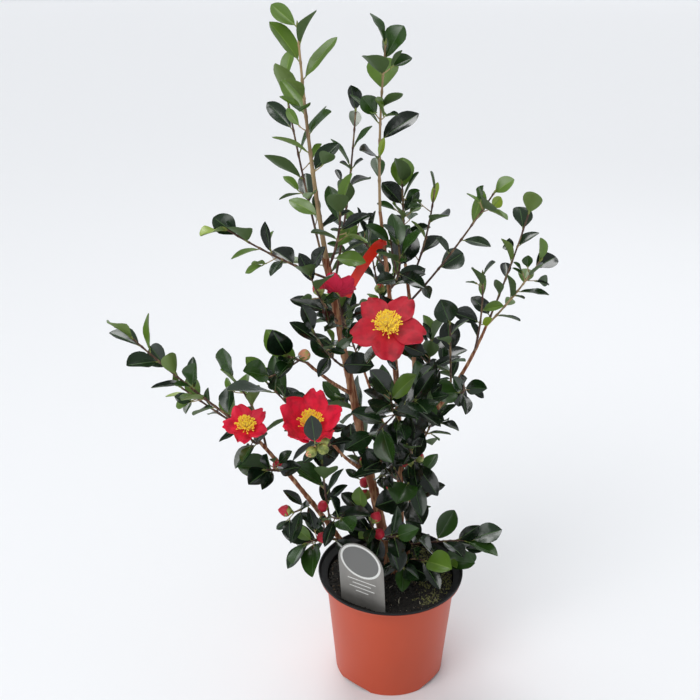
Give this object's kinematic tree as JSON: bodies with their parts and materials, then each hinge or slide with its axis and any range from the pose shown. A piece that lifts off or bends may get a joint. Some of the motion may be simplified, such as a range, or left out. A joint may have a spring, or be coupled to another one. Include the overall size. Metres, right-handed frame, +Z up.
{
  "type": "potted camellia shrub",
  "caption": "Upright, open camellia shrub with glossy dark leaves, red single flowers with yellow stamens and round buds, growing in a round tapered plastic nursery pot with a label",
  "frame": {"origin": "centre of the pot's flat underside, where it stands on the ground", "axes": "+Z up along the pot's axis, -Y towards the side with the plant label, +X to the right seen from there"},
  "size_m": [0.5177, 0.3645, 0.8614],
  "materials": {
    "pot_plastic": "terracotta-coloured moulded plastic, black inside and at the lip",
    "potting_mix": "dark crumbly potting mix with tufts of moss",
    "label_plastic": "smooth grey plastic plant label with a plain white border",
    "ribbon_plastic": "thin bright red plastic ribbon",
    "bark": "reddish-brown bark, finely cracked, with grey-tan streaks",
    "foliage": "glossy dark green leaves, paler beneath, with crimson petals and yellow stamens"
  },
  "bodies": {
    "root": {"pot": "pot_plastic", "soil": "potting_mix", "label": "label_plastic", "red_ribbon": "ribbon_plastic", "main_stem": "bark", "centre_stem": "bark", "right_stem": "bark", "left_low_bough": "bark", "left_mid_bough": "bark", "front_left_bough": "bark", "front_bough": "bark", "right_bough": "bark", "back_left_bough": "bark", "back_right_bough": "bark", "tall_left_shoot": "foliage", "tall_middle_shoot": "foliage", "small_dark_shoot": "foliage", "upper_left_shoot": "foliage", "centre_top_shoot": "foliage", "right_top_shoot": "foliage", "right_side_shoot": "foliage", "right_upper_shoot": "foliage", "right_outer_shoot": "foliage", "right_back_shoot": "foliage", "right_inner_shoot": "foliage", "right_spur_shoot": "foliage", "right_low_spur": "foliage", "left_outer_shoot": "foliage", "left_parallel_shoot": "foliage", "left_flower_shoot": "foliage", "left_up_shoot": "foliage", "left_drooping_shoot": "foliage", "left_under_shoot": "foliage", "left_foot_shoot": "foliage", "left_upright_shoot": "foliage", "front_left_flower_shoot": "foliage", "front_left_side_shoot": "foliage", "left_mid_shoot": "foliage", "trunk_top_spur": "foliage", "trunk_flower_shoot": "foliage", "trunk_crown_spur": "foliage", "trunk_left_spur": "foliage", "centre_left_spur": "foliage", "centre_right_spur": "foliage", "front_flower_shoot": "foliage", "front_low_spur": "foliage", "right_front_spur": "foliage", "right_middle_spur": "foliage", "right_under_spur": "foliage", "centre_low_spur": "foliage", "right_foot_shoot": "foliage", "front_foot_shoot": "foliage", "trunk_foot_shoot": "foliage", "trunk_bud_spur": "foliage", "back_left_shoot": "foliage", "back_left_spur": "foliage", "back_high_shoot": "foliage", "back_right_shoot": "foliage", "back_right_spur": "foliage", "back_foot_shoot": "foliage"}
  },
  "joints": []
}
